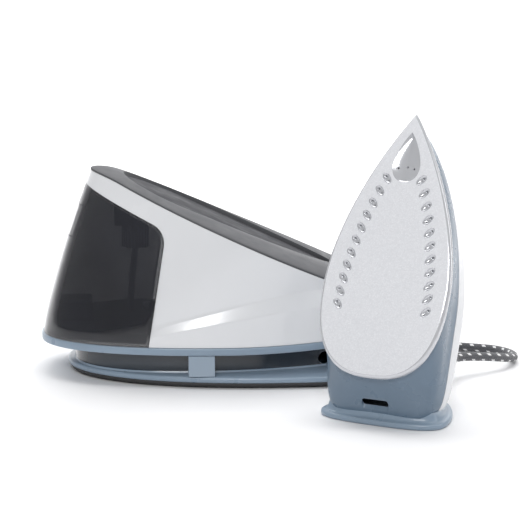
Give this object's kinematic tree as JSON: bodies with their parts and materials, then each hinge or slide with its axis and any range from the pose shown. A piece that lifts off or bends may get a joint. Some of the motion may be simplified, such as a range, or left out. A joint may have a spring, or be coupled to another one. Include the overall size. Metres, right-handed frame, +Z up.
{
  "type": "steam generator iron",
  "caption": "Steam generator iron: a sloping base station with a smoke-grey removable water tank, its iron standing on its heel beside it, joined by a textile steam hose.",
  "frame": {"origin": "centre of the object's footprint on the floor, the cord left out", "axes": "+X along the base station towards its nose, +Y towards its far side, where the hose leaves it, +Z up"},
  "size_m": [0.4569, 0.4938, 0.2531],
  "materials": {
    "white_plastic": "gloss, moulded",
    "blue_grey_plastic": "satin, moulded",
    "dark_grey_plastic": "matt, fine texture",
    "black_rubber": "matt",
    "black_plastic": "matt",
    "smoke_plastic": "glossy, see-through smoke grey",
    "sole_ceramic": "satin, finely speckled coating on aluminium",
    "cast_aluminium": "as cast",
    "screw_steel": "zinc plated",
    "brass": "machined",
    "board": "coated fibreglass",
    "silicone": "matt silicone",
    "textile_hose": "woven textile sleeve with light flecks"
  },
  "bodies": {
    "base_station": {"foot_1": "black_rubber", "foot_2": "black_rubber", "foot_3": "black_rubber", "foot_4": "black_rubber", "base_screw_1": "screw_steel", "base_screw_2": "screw_steel", "base_screw_3": "screw_steel", "base_screw_4": "screw_steel", "bottom_pan": "black_plastic", "base_plate": "blue_grey_plastic", "lower_housing": "blue_grey_plastic", "hose_clip_near": "blue_grey_plastic", "hose_clip_far": "blue_grey_plastic", "body_shell": "white_plastic", "tank_bulkhead": "dark_grey_plastic", "iron_rest": "dark_grey_plastic", "rest_mat": "black_rubber", "heel_stop": "dark_grey_plastic", "boiler": "cast_aluminium", "boiler_thermostat": "black_plastic", "pump": "black_plastic", "steam_valve": "brass", "control_board": "board", "feed_pipe": "silicone", "delivery_pipe": "silicone", "steam_pipe": "silicone", "hose_gland": "black_plastic", "mains_gland": "black_plastic", "hose_run_iron": "textile_hose", "hose_coil": "textile_hose", "hose_run_base": "textile_hose"},
    "power_button": {"power_button": "dark_grey_plastic"},
    "steam_button": {"steam_button": "dark_grey_plastic"},
    "water_tank": {"tank_shell": "smoke_plastic", "tank_base": "black_plastic", "valve_box": "black_plastic", "tank_valve_plunger": "silicone", "filter_cartridge": "dark_grey_plastic", "filter_cap": "black_plastic", "suction_tube": "dark_grey_plastic"},
    "filler_flap": {"filler_flap": "smoke_plastic"},
    "iron": {"soleplate": "sole_ceramic", "steam_chamber": "cast_aluminium", "iron_thermostat": "brass", "steam_inlet_tube": "silicone", "iron_skirt": "blue_grey_plastic", "iron_cover": "white_plastic", "handle": "white_plastic", "grip_pad": "dark_grey_plastic", "trigger_switch": "black_plastic", "heel_plate": "blue_grey_plastic", "heel_screw_left": "screw_steel", "heel_screw_right": "screw_steel"},
    "steam_trigger": {"steam_trigger": "dark_grey_plastic"},
    "temperature_dial": {"temperature_dial": "dark_grey_plastic"},
    "hose_swivel": {"hose_swivel": "dark_grey_plastic"}
  },
  "joints": [
    {"name": "power_press", "type": "slide", "parent": "base_station", "child": "power_button", "axis": [-1, 0, 0], "range_m": [0, 0.0025], "stiffness_N_per_m": 400},
    {"name": "steam_press", "type": "slide", "parent": "base_station", "child": "steam_button", "axis": [-1, 0, 0], "range_m": [0, 0.0025], "stiffness_N_per_m": 400},
    {"name": "tank_pull", "type": "slide", "parent": "base_station", "child": "water_tank", "axis": [-1, 0, 0], "range_m": [0, 0.2]},
    {"name": "flap_hinge", "type": "hinge", "parent": "water_tank", "child": "filler_flap", "pos_m": [-0.15208, 0.0724, 0.157], "axis": [0, 1, 0], "range_deg": [0, 80]},
    {"name": "iron_lift", "type": "slide", "parent": "base_station", "child": "iron", "axis": [0, 0, 1], "range_m": [0, 0.22]},
    {"name": "trigger_squeeze", "type": "hinge", "parent": "iron", "child": "steam_trigger", "pos_m": [0.16119, -0.05532, 0.12722], "axis": [0.848, -0.5299, 0], "range_deg": [0, 3], "stiffness_Nm_per_rad": 0.4},
    {"name": "dial_turn", "type": "hinge", "parent": "iron", "child": "temperature_dial", "pos_m": [0.14625, -0.07923, 0.09316], "axis": [0.4856, 0.7771, -0.4003], "range_deg": [-135, 135]},
    {"name": "hose_turn", "type": "hinge", "parent": "iron", "child": "hose_swivel", "pos_m": [0.15765, -0.06098, 0.01828], "axis": [0.5299, 0.848, 0], "continuous": true}
  ]
}
